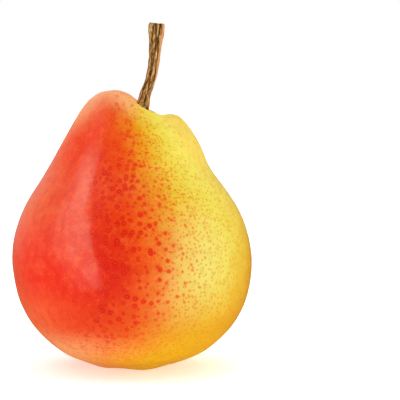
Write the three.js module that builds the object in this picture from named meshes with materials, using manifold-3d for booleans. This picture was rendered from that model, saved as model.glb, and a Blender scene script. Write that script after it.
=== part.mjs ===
// A whole ripe pear standing on its base: fruit, woody stem, five dried sepals and a tuft of dried
// stamens. Millimetres, +Z up. The origin is on the table, under the middle of the belly.
// +X is the side towards which the crown is pushed over, and -Y is the front.

import * as THREE from "three";
import { mergeVertices } from "three/addons/utils/BufferGeometryUtils.js";
import Module from "manifold-3d";

// Fruit
const BELLY_DIAMETER = 66;
const BELLY_HEIGHT = 29.2; // widest girth above the table
const BODY_LEAN = 1.2; // degrees, towards -X
const CROWN_HEIGHT = 72.3; // crest of the crown, at its middle
const CROWN_DIAMETER = 18.8; // crest to crest
const CROWN_TILT = 21; // degrees, high side at -X
const CROWN_SHIFT = 4.2; // middle of the crown, along +X
const CAVITY_DEPTH = 4.2; // dip around the stem, below the crest
const BASIN_DEPTH = 3.4; // dip around the calyx, above the table
const STAND_DIAMETER = 18; // middle of the ring of pads
const PAD_WIDTH = 2.4; // flat pad, measured along a radius
const LOBE_COUNT = 5;
const LOBE_HEIGHT = 0.6; // rise of the skin between two pads
const PAD_SHARE = 0.36; // share of a lobe's wave that stays flat as the pad

// Calyx
const CALYX_MOUTH_DIAMETER = 5;
const CALYX_TUBE_DEPTH = 8;
const SEPAL_LENGTH = 3.4;
const SEPAL_WIDTH = 2;
const SEPAL_THICKNESS = 0.45;
const TUFT_REACH = 1.4; // how far the stamens stand out of the mouth

// Stem
const STEM_DIAMETER = 3; // in the middle
const STEM_ROOT_DIAMETER = 4.2;
const STEM_TOP_DIAMETER = 4.4;
const STEM_RISE = 21.7; // from the crest of the crown to the stem's end
const STEM_ROOT_DEPTH = 4; // in the flesh, below the cavity's floor
const STEM_LEAN = 4.6; // sideways from root to end

const FIT_GAP = 0.3; // between neighbouring pieces

const FRUIT_SIDES = 50; // a multiple of twice the lobes
const STEM_SIDES = 12;
const STEM_STEPS = 20;
const TUFT_SIDES = 16;

const bellyRadius = BELLY_DIAMETER / 2;
const crownRadius = CROWN_DIAMETER / 2;
const mouthRadius = CALYX_MOUTH_DIAMETER / 2;
const padInner = STAND_DIAMETER / 2 - PAD_WIDTH / 2;
const padOuter = STAND_DIAMETER / 2 + PAD_WIDTH / 2;
const cavityFloor = CROWN_HEIGHT - CAVITY_DEPTH;

const wasm = await Module();
wasm.setup();

/** A geometry as one closed net of corners: positions only, corners merged, empty triangles gone. */
function closedNet(geometry) {
  geometry.deleteAttribute("normal");
  geometry.deleteAttribute("uv");
  const net = mergeVertices(geometry, 1e-4);
  const corners = net.index.array;
  const kept = [];
  for (let i = 0; i < corners.length; i += 3) {
    const [a, b, c] = [corners[i], corners[i + 1], corners[i + 2]];
    if (a !== b && b !== c && c !== a) kept.push(a, b, c);
  }
  net.setIndex(kept);
  return net;
}

/** Moves every corner of a geometry to where place(point) puts it. */
function reshape(geometry, place) {
  const positions = geometry.attributes.position;
  const point = new THREE.Vector3();
  for (let i = 0; i < positions.count; i += 1) {
    point.fromBufferAttribute(positions, i);
    place(point);
    positions.setXYZ(i, point.x, point.y, point.z);
  }
  return geometry;
}

/** What is left of one closed net when another is cut out of it. */
function cut(net, cutter) {
  const [body, tool] = [net, cutter].map((each) => new wasm.Manifold(new wasm.Mesh({
    numProp: 3,
    vertProperties: new Float32Array(each.attributes.position.array),
    triVerts: new Uint32Array(each.index.array),
  })));
  const rest = body.subtract(tool).getMesh();
  const geometry = new THREE.BufferGeometry();
  geometry.setAttribute("position", new THREE.BufferAttribute(rest.vertProperties, 3));
  geometry.setIndex(new THREE.BufferAttribute(rest.triVerts, 1));
  return geometry;
}

/** Points on a smooth line through stations of [radius, height, steps to the next station]. */
function smoothLine(stations) {
  const curve = new THREE.CatmullRomCurve3(
    stations.map(([radius, height]) => new THREE.Vector3(radius, height, 0)),
    false,
    "centripetal",
  );
  const points = [];
  for (let i = 0; i < stations.length - 1; i += 1) {
    const steps = stations[i][2];
    for (let k = 0; k < steps; k += 1) {
      const point = curve.getPoint((i + k / steps) / (stations.length - 1));
      points.push(new THREE.Vector2(Math.max(point.x, 0), point.y));
    }
  }
  const [radius, height] = stations[stations.length - 1];
  points.push(new THREE.Vector2(radius, height));
  return points;
}

/** A profile turned about the Z axis. */
function turned(profile, sides) {
  return closedNet(new THREE.LatheGeometry(profile, sides)).rotateX(Math.PI / 2);
}

// ---- Fruit ----

const mix = THREE.MathUtils.lerp;

// Calyx tube and basin, from the tube's end on the axis down to the pads' inner edge.
const tubeLine = smoothLine([
  [0, BASIN_DEPTH + CALYX_TUBE_DEPTH, 1],
  [0.45 * mouthRadius, BASIN_DEPTH + 0.93 * CALYX_TUBE_DEPTH, 1],
  [0.75 * mouthRadius, BASIN_DEPTH + 0.5 * CALYX_TUBE_DEPTH, 1],
  [mouthRadius, BASIN_DEPTH + 0.1 * CALYX_TUBE_DEPTH, 1],
  [1.16 * mouthRadius, BASIN_DEPTH, 1],
]);
const basinLine = smoothLine([
  [1.16 * mouthRadius, BASIN_DEPTH, 2],
  [mix(mouthRadius, padInner, 0.45), 0.74 * BASIN_DEPTH, 2],
  [mix(mouthRadius, padInner, 0.78), 0.3 * BASIN_DEPTH, 1],
  [padInner, 0, 1],
]);

// Flank, from the pads' outer edge to the crest: [share of the way up, share of the way out, steps].
const lowerFlank = [
  [0, 0, 1], [0.068, 0.205, 1], [0.151, 0.42, 1], [0.298, 0.648, 1], [0.445, 0.8, 1],
  [0.64, 0.925, 1], [0.82, 0.982, 1],
].map(([up, out, steps]) => [mix(padOuter, bellyRadius, out), up * BELLY_HEIGHT, steps]);
const upperFlank = [
  [0, 1, 1], [0.119, 0.979, 1], [0.221, 0.932, 1], [0.323, 0.86, 1], [0.426, 0.75, 1],
  [0.528, 0.62, 1], [0.63, 0.5, 1], [0.733, 0.405, 1], [0.837, 0.318, 1], [0.914, 0.215, 1],
  [0.96, 0.128, 1], [0.988, 0.058, 1], [1, 0, 1],
].map(([up, out, steps]) => [mix(crownRadius, bellyRadius, out), mix(BELLY_HEIGHT, CROWN_HEIGHT, up), steps]);
const cavity = [
  [0.82, 0.06, 1], [0.64, 0.34, 1], [0.46, 0.72, 1], [0.28, 0.94, 1], [0, 1, 1],
].map(([out, down, steps]) => [out * crownRadius, CROWN_HEIGHT - down * CAVITY_DEPTH, steps]);
const flankLine = smoothLine([...lowerFlank, ...upperFlank, ...cavity]);

/** The radius of a line at a height, or its height at a radius: straight between its points. */
function along(line, from, to, value) {
  for (let i = 0; i < line.length - 1; i += 1) {
    const [a, b] = [line[i], line[i + 1]];
    if ((a[from] - value) * (b[from] - value) <= 0 && a[from] !== b[from]) {
      return mix(a[to], b[to], (value - a[from]) / (b[from] - a[from]));
    }
  }
  return line[line.length - 1][to];
}

/** Lifts the skin between the pads, so that the fruit stands on one flat pad under each lobe. */
function addLobes(point) {
  const radius = Math.hypot(point.x, point.y);
  if (radius < mouthRadius || point.z > BELLY_HEIGHT) return;
  const wave = (1 - Math.cos(LOBE_COUNT * Math.atan2(point.y, point.x))) / 2;
  const rise = Math.max(0, wave - PAD_SHARE) / (1 - PAD_SHARE);
  const away = (radius - STAND_DIAMETER / 2) / (STAND_DIAMETER / 2);
  point.z += LOBE_HEIGHT * rise * Math.exp(-3 * away * away);
}

const tangent = (degrees) => Math.tan(THREE.MathUtils.degToRad(degrees));

/** How far the fruit's axis is pushed to +X by its lean at a height. */
function leanAt(height) {
  return tangent(BODY_LEAN) * (BELLY_HEIGHT - height);
}

/** Leans the whole fruit, and pushes and tilts its crown, more and more from mid flank upwards. */
function leanBody(point) {
  const start = mix(BELLY_HEIGHT, CROWN_HEIGHT, 0.5);
  const part = THREE.MathUtils.smoothstep(point.z, start, CROWN_HEIGHT);
  const push = part * CROWN_SHIFT + leanAt(point.z);
  point.z -= part * tangent(CROWN_TILT) * point.x;
  point.x += push;
}

const whole = turned([...tubeLine, ...basinLine.slice(1), ...flankLine], FRUIT_SIDES);
reshape(whole, addLobes);
reshape(whole, leanBody);

// ---- Stem ----

const crownMiddle = CROWN_SHIFT + leanAt(CROWN_HEIGHT);
const stemFoot = cavityFloor - STEM_ROOT_DEPTH;
const stemEnd = CROWN_HEIGHT + STEM_RISE;

// [share of the way up from the foot, share of the lean], and [share, diameter].
const stemPath = new THREE.CatmullRomCurve3([
  [0, 0], [0.14, 0.04], [0.24, 0.12], [0.33, 0.27], [0.42, 0.47], [0.5, 0.64], [0.58, 0.75],
  [0.68, 0.84], [0.8, 0.91], [0.9, 0.95], [1, 1],
].map(([up, over]) => new THREE.Vector3(
  crownMiddle - 0.2 * STEM_LEAN + over * STEM_LEAN,
  0.15 * STEM_LEAN * over * over,
  mix(stemFoot, stemEnd, up),
)));
const stemGirths = [
  [0, 0.8 * STEM_ROOT_DIAMETER], [0.06, STEM_ROOT_DIAMETER], [0.2, STEM_ROOT_DIAMETER],
  [0.33, STEM_DIAMETER], [0.44, 0.92 * STEM_DIAMETER], [0.6, STEM_DIAMETER],
  [0.8, 1.1 * STEM_DIAMETER], [0.9, mix(STEM_DIAMETER, STEM_TOP_DIAMETER, 0.75)],
  [0.97, STEM_TOP_DIAMETER], [1, 0.82 * STEM_TOP_DIAMETER],
].map(([up, girth]) => new THREE.Vector2(up, girth));

/** A round bar along the stem's path, from share 0 to share end, thicker all round by extra. */
function stemBar(end, extra) {
  const bar = new THREE.CylinderGeometry(1, 1, 1, STEM_SIDES, STEM_STEPS);
  reshape(bar, (point) => {
    const share = (point.y + 0.5) * end;
    const middle = stemPath.getPoint(share);
    const ahead = stemPath.getTangent(share);
    const right = new THREE.Vector3(1, 0, 0).addScaledVector(ahead, -ahead.x).normalize();
    const back = new THREE.Vector3().crossVectors(ahead, right);
    const radius = along(stemGirths, "x", "y", middle.z < stemFoot ? 0 : share) / 2 + extra;
    const [over, deep] = [point.x * radius, -point.z * radius];
    point.copy(middle).addScaledVector(right, over).addScaledVector(back, deep);
    if (share === 0) point.addScaledVector(ahead, -extra);
  });
  return closedNet(bar);
}

const fruitGeometry = cut(whole, stemBar(0.5, FIT_GAP));
const stemGeometry = stemBar(1, 0);

// ---- Calyx ----

/** A thin tapered leaf that follows the basin's skin outwards from the calyx mouth. */
function sepalGeometry() {
  const leaf = new THREE.BoxGeometry(1, 1, 1, 6, 2, 1);
  reshape(leaf, (point) => {
    const share = point.x + 0.5;
    const radius = 1.16 * mouthRadius + share * SEPAL_LENGTH;
    const width = SEPAL_WIDTH * (0.84 + share - 1.64 * share * share);
    const skin = along(basinLine, "x", "y", radius) - FIT_GAP;
    const under = point.z < 0 ? SEPAL_THICKNESS * (1 - 0.4 * share) : 0;
    const curl = 0.25 * SEPAL_THICKNESS * (1 - 4 * point.y * point.y);
    point.set(radius, point.y * width, skin - under - curl * (1 - share));
  });
  return closedNet(leaf);
}

/** The bundle of dried stamens, fluted, narrower than the calyx tube by the gap all round. */
function tuftGeometry() {
  const tip = BASIN_DEPTH - TUFT_REACH;
  const top = BASIN_DEPTH + 0.7 * CALYX_TUBE_DEPTH;
  const flute = 0.14;
  const line = [new THREE.Vector2(0, tip)];
  for (const share of [0.02, 0.12, 0.25, 0.4, 0.6, 0.8, 1]) {
    const height = mix(tip, top, share);
    const room = along(tubeLine, "y", "x", Math.max(height, BASIN_DEPTH)) - FIT_GAP;
    line.push(new THREE.Vector2(room / (1 + flute) * mix(0.7, 0.9, Math.min(1, 4 * share)), height));
  }
  line.push(new THREE.Vector2(0, top));
  return reshape(turned(line, TUFT_SIDES), (point) => {
    const swell = 1 + flute * Math.cos(TUFT_SIDES / 2 * Math.atan2(point.y, point.x));
    point.x *= swell;
    point.y *= swell;
  });
}

// ---- The pear ----

const skinMaterial = { color: "#e5813a", roughness: 0.38, metalness: 0 };
const barkMaterial = { color: "#7a5637", roughness: 0.8, metalness: 0 };
const driedMaterial = { color: "#5a3f26", roughness: 0.85, metalness: 0 };

const group = new THREE.Group();

/** Adds one named piece to the pear. */
function add(name, geometry, look) {
  const mesh = new THREE.Mesh(geometry, new THREE.MeshStandardMaterial(look));
  mesh.name = name;
  group.add(mesh);
}

add("fruit", fruitGeometry, skinMaterial);
add("stem", stemGeometry, barkMaterial);
for (let i = 0; i < LOBE_COUNT; i += 1) {
  const sepal = sepalGeometry().rotateZ((2 * Math.PI * (i + 0.5)) / LOBE_COUNT);
  add(`sepal_${i + 1}`, reshape(sepal, leanBody), driedMaterial);
}
add("stamen_tuft", reshape(tuftGeometry(), leanBody), driedMaterial);

export default group;
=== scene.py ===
"""A whole ripe pear on its base: blushed, dotted skin, a ridged woody stem and a dried calyx underneath."""

import logging
import math
import random
from dataclasses import dataclass, field
from enum import Enum
from typing import Callable, Iterable, Sequence

import bmesh
import bpy
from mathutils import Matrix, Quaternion, Vector


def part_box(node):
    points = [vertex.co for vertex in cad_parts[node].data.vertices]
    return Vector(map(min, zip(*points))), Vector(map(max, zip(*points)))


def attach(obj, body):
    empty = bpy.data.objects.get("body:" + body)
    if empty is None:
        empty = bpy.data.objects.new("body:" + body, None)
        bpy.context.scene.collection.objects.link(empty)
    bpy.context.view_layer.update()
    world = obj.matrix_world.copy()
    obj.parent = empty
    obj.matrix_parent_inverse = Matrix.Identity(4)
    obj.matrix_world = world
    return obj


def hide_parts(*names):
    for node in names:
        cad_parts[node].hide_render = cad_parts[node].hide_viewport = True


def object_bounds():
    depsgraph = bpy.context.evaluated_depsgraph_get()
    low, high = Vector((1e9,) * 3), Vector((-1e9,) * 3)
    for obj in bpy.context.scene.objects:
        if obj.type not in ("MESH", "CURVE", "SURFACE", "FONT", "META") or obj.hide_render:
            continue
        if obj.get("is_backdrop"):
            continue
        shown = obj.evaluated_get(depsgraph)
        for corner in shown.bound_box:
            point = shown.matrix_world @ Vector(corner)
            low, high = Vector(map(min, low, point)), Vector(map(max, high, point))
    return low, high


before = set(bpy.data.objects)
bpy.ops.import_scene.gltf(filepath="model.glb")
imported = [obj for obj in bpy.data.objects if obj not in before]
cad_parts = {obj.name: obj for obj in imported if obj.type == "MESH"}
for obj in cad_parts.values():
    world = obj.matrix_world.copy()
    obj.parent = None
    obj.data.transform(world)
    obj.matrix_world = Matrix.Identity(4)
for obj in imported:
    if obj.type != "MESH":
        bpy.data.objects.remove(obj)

log = logging.getLogger("pear")

MM = 0.001
SKIN_UV = "SkinMap"
BARK_UV = "BarkMap"
Station = tuple[float, float]
Test = Callable[[Vector, int], bool]


# ---------------------------------------------------------------- modelling by hand


def mix(start: float, end: float, share: float) -> float:
    """The number that share of the way from start to end gives."""
    return start + (end - start) * share


def smooth(value: float, low: float, high: float) -> float:
    """0 below low, 1 above high, and an S-shaped rise between."""
    share = min(max((value - low) / (high - low), 0.0), 1.0)
    return share * share * (3 - 2 * share)


def table(stations: Sequence[Station], value: float) -> float:
    """Reads a table of (place, number) at a place, straight between its rows.

    Args:
        stations: rows in rising order of place.
        value: the place to read.

    Returns:
        The number there, or the nearest end's.
    """
    if value <= stations[0][0]:
        return stations[0][1]
    for (a, x), (b, y) in zip(stations, stations[1:]):
        if value <= b:
            return mix(x, y, (value - a) / (b - a))
    return stations[-1][1]


def smooth_line(stations: Sequence[Vector], step: float) -> list[Vector]:
    """Walks a smooth curve through stations.

    Args:
        stations: the points that the curve passes.
        step: the rough distance between the points returned.

    Returns:
        Points along the curve, the first and last station included.
    """
    line: list[Vector] = []
    ends = [2 * stations[0] - stations[1], *stations, 2 * stations[-1] - stations[-2]]
    for p0, p1, p2, p3 in zip(ends, ends[1:], ends[2:], ends[3:]):
        knots = [0.0]
        for a, b in ((p0, p1), (p1, p2), (p2, p3)):
            knots.append(knots[-1] + max((b - a).length, 1e-6) ** 0.5)
        t0, t1, t2, t3 = knots
        count = max(1, round((p2 - p1).length / step))
        for k in range(count):
            t = mix(t1, t2, k / count)
            a1 = p0 * ((t1 - t) / (t1 - t0)) + p1 * ((t - t0) / (t1 - t0))
            a2 = p1 * ((t2 - t) / (t2 - t1)) + p2 * ((t - t1) / (t2 - t1))
            a3 = p2 * ((t3 - t) / (t3 - t2)) + p3 * ((t - t2) / (t3 - t2))
            b1 = a1 * ((t2 - t) / (t2 - t0)) + a2 * ((t - t0) / (t2 - t0))
            b2 = a2 * ((t3 - t) / (t3 - t1)) + a3 * ((t - t1) / (t3 - t1))
            line.append(b1 * ((t2 - t) / (t2 - t1)) + b2 * ((t - t1) / (t2 - t1)))
    line.append(stations[-1].copy())
    return line


@dataclass
class Workpiece:
    """One mesh on the bench, shaped in edit mode with the usual operators. Sizes are in millimetres.

    Attributes:
        name: the piece's name.
        sides: corners in each ring.
        rings: how many rings have been drawn so far.
    """

    name: str
    sides: int = 0
    rings: int = 0
    piece: bpy.types.Object = field(init=False)

    def start_ring(self, radius: float, height: float) -> None:
        """Lays the first ring flat and opens it for editing.

        Args:
            radius: the ring's radius.
            height: how high it lies.
        """
        bpy.ops.object.select_all(action="DESELECT")
        bpy.ops.mesh.primitive_circle_add(
            vertices=self.sides, radius=radius * MM, location=(0, 0, height * MM)
        )
        self._take()
        self.rings = 1

    def start_sheet(self, length: float, width: float, along: int, across: int) -> None:
        """Lays a flat sheet from the origin along +X and opens it for editing.

        Args:
            length: its size along X.
            width: its size along Y.
            along: how many faces it has along X.
            across: how many faces it has along Y.
        """
        bpy.ops.object.select_all(action="DESELECT")
        bpy.ops.mesh.primitive_grid_add(
            x_subdivisions=along, y_subdivisions=across, size=1, location=(0.5, 0, 0)
        )
        self._take()
        bpy.ops.transform.resize(value=(length * MM, width * MM, 1), center_override=(0, 0, 0))

    def _take(self) -> None:
        """Names the new primitive, puts its place into its mesh and opens it."""
        self.piece = bpy.context.object
        self.piece.name = self.name
        self.piece.data.name = self.name
        bpy.ops.object.transform_apply(location=True, rotation=True, scale=True)
        bpy.ops.object.mode_set(mode="EDIT")
        bpy.ops.mesh.select_mode(type="VERT")
        bpy.ops.mesh.select_all(action="SELECT")

    def next_ring(self, step: Vector, ratio: float, middle: Vector) -> None:
        """Draws the last ring on, then scales it.

        Args:
            step: how far the new ring lies from the last.
            ratio: its radius over the last one's.
            middle: its middle, about which it is scaled.
        """
        bpy.ops.mesh.extrude_region_move(TRANSFORM_OT_translate={"value": step * MM})
        bpy.ops.transform.resize(value=(ratio,) * 3, center_override=middle * MM)
        self.rings += 1

    def close_ring(self) -> None:
        """Pulls the last ring together into one point."""
        bpy.ops.mesh.extrude_region_move(TRANSFORM_OT_translate={"value": (0, 0, 0)})
        bpy.ops.mesh.merge(type="CENTER")

    def pick(self, test: Test) -> None:
        """Selects some of the corners.

        Args:
            test: says whether to take a corner, from its place in millimetres and its index.
        """
        bpy.ops.mesh.select_all(action="DESELECT")
        net = bmesh.from_edit_mesh(self.piece.data)
        for corner in net.verts:
            corner.select = test(corner.co / MM, corner.index)
        net.select_flush_mode()
        bmesh.update_edit_mesh(self.piece.data)

    def pick_ring(self, ring: int) -> None:
        """Selects one ring."""
        first = ring * self.sides
        self.pick(lambda _, index: first <= index < first + self.sides)

    def push(self, offset: Vector, reach: float = 0.0) -> None:
        """Moves what is selected, and its surroundings by less and less.

        Args:
            offset: how far it moves.
            reach: how far away the surroundings still move, 0 for none.
        """
        soft = {}
        if reach:
            soft = {
                "use_proportional_edit": True,
                "proportional_edit_falloff": "SMOOTH",
                "proportional_size": reach * MM,
            }
        bpy.ops.transform.translate(value=offset * MM, **soft)

    def tilt(self, angle: float, axis: str, middle: Vector) -> None:
        """Turns what is selected about an axis by a right-handed angle in radians."""
        bpy.ops.transform.rotate(value=-angle, orient_axis=axis, center_override=middle * MM)

    def stretch(self, ratios: tuple[float, float, float], middle: Vector) -> None:
        """Scales what is selected about a point."""
        bpy.ops.transform.resize(value=ratios, center_override=middle * MM)

    def swell(self, amount: float) -> None:
        """Moves what is selected outwards along its normals."""
        bpy.ops.transform.shrink_fatten(value=amount * MM)

    def leave(self) -> None:
        """Faces everything outwards and goes back to object mode."""
        bpy.ops.mesh.select_all(action="SELECT")
        bpy.ops.mesh.normals_make_consistent(inside=False)
        bpy.ops.object.mode_set(mode="OBJECT")

    def finish(self, kind: str, **settings: object) -> None:
        """Adds a modifier and applies it.

        Args:
            kind: the modifier's type.
            settings: its settings, by name.
        """
        modifier = self.piece.modifiers.new(kind.title(), kind)
        for key, value in settings.items():
            setattr(modifier, key, value)
        bpy.context.view_layer.objects.active = self.piece
        bpy.ops.object.modifier_apply(modifier=modifier.name)

    def lumps(self, size: float, height: float) -> None:
        """Makes the surface softly uneven.

        Args:
            size: how wide the lumps are.
            height: how far the surface moves between the deepest and the highest.
        """
        clouds = bpy.data.textures.new(f"{self.name}_lumps_{size:g}", "CLOUDS")
        clouds.noise_scale = size * MM
        clouds.noise_depth = 1
        self.finish("DISPLACE", texture=clouds, texture_coords="LOCAL", mid_level=0.5, strength=height * MM)

    def write_numbers(self, name: str, values: Iterable[float]) -> None:
        """Stores one number for each corner, for the material to read."""
        layer = self.piece.data.attributes.new(name, "FLOAT", "POINT")
        layer.data.foreach_set("value", list(values))

    def write_map(self, name: str, place: Callable[[int], tuple[float, float]]) -> None:
        """Lays a UV map round the rings, with its seam between the last corner and the first.

        Args:
            name: the map's name.
            place: gives a corner's (share of the way round, height in the map).
        """
        mesh = self.piece.data
        layer = mesh.uv_layers.new(name=name)
        for face in mesh.polygons:
            spots = [place(mesh.loops[i].vertex_index) for i in face.loop_indices]
            wraps = max(u for u, _ in spots) - min(u for u, _ in spots) > 0.5
            for loop, (u, v) in zip(face.loop_indices, spots):
                layer.data[loop].uv = (u + 1 if wraps and u < 0.5 else u, v)


# ---------------------------------------------------------------- wiring materials


Socket = bpy.types.NodeSocket
Rgb = tuple[float, float, float]
Stops = Sequence[tuple[float, str]]
Curve = Sequence[Station]
Change = tuple[float, ...]


def shade(code: str) -> Rgb:
    """A screen colour such as "e8d24a" as linear light."""
    parts = [int(code[i:i + 2], 16) / 255 for i in (0, 2, 4)]
    return tuple(p / 12.92 if p <= 0.04045 else ((p + 0.055) / 1.055) ** 2.4 for p in parts)


@dataclass(frozen=True)
class Signal:
    """A number, colour or vector on its way through a material, open to plain arithmetic.

    Attributes:
        wiring: the wiring that it runs through.
        socket: the output that it comes from.
    """

    wiring: "Wiring"
    socket: Socket

    def __add__(self, other: "Value") -> "Signal":
        """This and another, added up."""
        return self.wiring.math("ADD", self, other)

    def __sub__(self, other: "Value") -> "Signal":
        """This less another."""
        return self.wiring.math("SUBTRACT", self, other)

    def __rsub__(self, other: float) -> "Signal":
        """A plain number less this."""
        return self.wiring.math("SUBTRACT", other, self)

    def __mul__(self, other: "Value") -> "Signal":
        """This times another."""
        return self.wiring.math("MULTIPLY", self, other)

    def __truediv__(self, other: "Value") -> "Signal":
        """This divided by another."""
        return self.wiring.math("DIVIDE", self, other)

    def ease(self, low: "Value", high: "Value", start: "Value" = 0.0, end: "Value" = 1.0) -> "Signal":
        """Goes smoothly from start to end while this goes from low to high."""
        node = self.wiring.add("ShaderNodeMapRange", interpolation_type="SMOOTHSTEP")
        return self.wiring.fill(node, self, low, high, start, end)

    def ramp(self, stops: Stops) -> "Signal":
        """Reads a colour off a row of colours.

        Args:
            stops: the row's (place, screen colour) stops, in order.

        Returns:
            The colour where this falls in the row.
        """
        node = self.wiring.add("ShaderNodeValToRGB")
        elements = node.color_ramp.elements
        while len(elements) < len(stops):
            elements.new(0.5)
        for element, (place, code) in zip(list(elements), stops):
            element.position = place
            element.color = (*shade(code), 1.0)
        return self.wiring.fill(node, self)

    def curve(self, points: Curve) -> "Signal":
        """Reads a number off a smooth curve.

        Args:
            points: the points that the curve passes, all between 0 and 1.

        Returns:
            The curve's height where this falls along it.
        """
        node = self.wiring.add("ShaderNodeFloatCurve")
        line = node.mapping.curves[0]
        while len(line.points) < len(points):
            line.points.new(0.5, 0.5)
        for point, place in zip(line.points, points):
            point.location = place
        node.mapping.update()
        return self.wiring.fill(node, 1.0, self)

    def blend(self, under: "Colour", over: "Colour") -> "Signal":
        """Lays one colour over another, with this as its share.

        Args:
            under: the colour where this is 0.
            over: the colour where this is 1.

        Returns:
            The blended colour.
        """
        node = self.wiring.add("ShaderNodeMix", data_type="RGBA")
        for index, value in ((0, self), (6, under), (7, over)):
            self.wiring.feed(node.inputs[index], value)
        return self.wiring.out(node, 2)

    def split(self) -> "list[Signal]":
        """Takes a vector apart.

        Returns:
            Its three numbers.
        """
        node = self.wiring.add("ShaderNodeSeparateXYZ")
        self.wiring.feed(node.inputs[0], self)
        return [self.wiring.out(node, index) for index in range(3)]


Value = float | Signal
Colour = Rgb | Signal


@dataclass(frozen=True)
class Wiring:
    """Adds nodes to one tree and joins them.

    Attributes:
        tree: the node tree.
    """

    tree: bpy.types.NodeTree

    def add(self, kind: str, **settings: object) -> bpy.types.Node:
        """Adds a node.

        Args:
            kind: the node's type.
            settings: its settings, by name.

        Returns:
            The new node.
        """
        node = self.tree.nodes.new(kind)
        for key, value in settings.items():
            setattr(node, key, value)
        return node

    def out(self, node: bpy.types.Node, name: str | int = 0) -> Signal:
        """The signal that comes from one of a node's outputs."""
        return Signal(self, node.outputs[name])

    def feed(self, socket: Socket, value: object) -> None:
        """Joins a signal to a socket, or sets the socket's own value.

        Args:
            socket: a node's input.
            value: a signal, a number or a colour.
        """
        if isinstance(value, Signal):
            self.tree.links.new(value.socket, socket)
        else:
            socket.default_value = (*value, 1.0) if socket.type == "RGBA" else value

    def feed_all(self, node: bpy.types.Node, **values: object) -> None:
        """Feeds a node's inputs by name; underscores in the names stand for spaces."""
        for name, value in values.items():
            self.feed(node.inputs[name.replace("_", " ")], value)

    def fill(self, node: bpy.types.Node, *values: object) -> Signal:
        """Feeds a node's inputs in order.

        Args:
            node: the node.
            values: one for each input, from the first.

        Returns:
            The signal from its first output.
        """
        for socket, value in zip(node.inputs, values):
            self.feed(socket, value)
        return self.out(node)

    def math(self, operation: str, *values: Value, clamp: bool = False) -> Signal:
        """The result of one Math node."""
        return self.fill(self.add("ShaderNodeMath", operation=operation, use_clamp=clamp), *values)

    def join(self, x: Value, y: Value, z: Value) -> Signal:
        """A vector of three numbers."""
        return self.fill(self.add("ShaderNodeCombineXYZ"), x, y, z)

    def noise(self, place: Signal, scale: Value, detail: float, roughness: float) -> Signal:
        """Makes soft noise around 0.5.

        Args:
            place: where it is read.
            scale: how many lumps there are in a unit of length.
            detail: how many finer sizes of lump are added.
            roughness: how strong those are.

        Returns:
            The noise.
        """
        node = self.add("ShaderNodeTexNoise")
        self.feed_all(node, Vector=place, Scale=scale, Detail=detail, Roughness=roughness)
        return self.out(node, "Fac")

    def place(self) -> Signal:
        """The spot on the piece, in metres."""
        return self.out(self.add("ShaderNodeTexCoord"), "Object")

    def wrap(self, name: str) -> Signal:
        """One of the piece's UV maps."""
        return self.out(self.add("ShaderNodeUVMap", uv_map=name))

    def number(self, name: str) -> Signal:
        """A number that is stored on the mesh."""
        return self.out(self.add("ShaderNodeAttribute", attribute_name=name), "Fac")

    def use(self, group: bpy.types.NodeTree, **values: Value) -> list[Signal]:
        """Places a node group.

        Args:
            group: the group.
            values: what it takes in, by name.

        Returns:
            What it puts out, in order.
        """
        node = self.add("ShaderNodeGroup", node_tree=group)
        self.feed_all(node, **values)
        return [self.out(node, index) for index in range(len(node.outputs))]


@dataclass
class Effect:
    """A shader node group under construction.

    Attributes:
        name: the group's name.
        inputs: the kind of each thing that it takes in, by name.
        outputs: the names of the numbers that it puts out.
    """

    name: str
    inputs: dict[str, str]
    outputs: Sequence[str]

    def __post_init__(self) -> None:
        """Makes the group and its sockets."""
        tree = bpy.data.node_groups.new(self.name, "ShaderNodeTree")
        for name, kind in self.inputs.items():
            tree.interface.new_socket(name=name, in_out="INPUT", socket_type=f"NodeSocket{kind}")
        for name in self.outputs:
            tree.interface.new_socket(name=name, in_out="OUTPUT", socket_type="NodeSocketFloat")
        self.wiring = Wiring(tree)

    def taken(self) -> list[Signal]:
        """What comes in, in order."""
        source = self.wiring.add("NodeGroupInput")
        return [self.wiring.out(source, name) for name in self.inputs]

    def give(self, *results: Signal) -> bpy.types.NodeTree:
        """Puts the results out.

        Args:
            results: one number for each output.

        Returns:
            The finished group.
        """
        target = self.wiring.add("NodeGroupOutput")
        for socket, result in zip(target.inputs, results):
            self.wiring.feed(socket, result)
        return self.wiring.tree


# ---------------------------------------------------------------- the pear's shape


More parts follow.
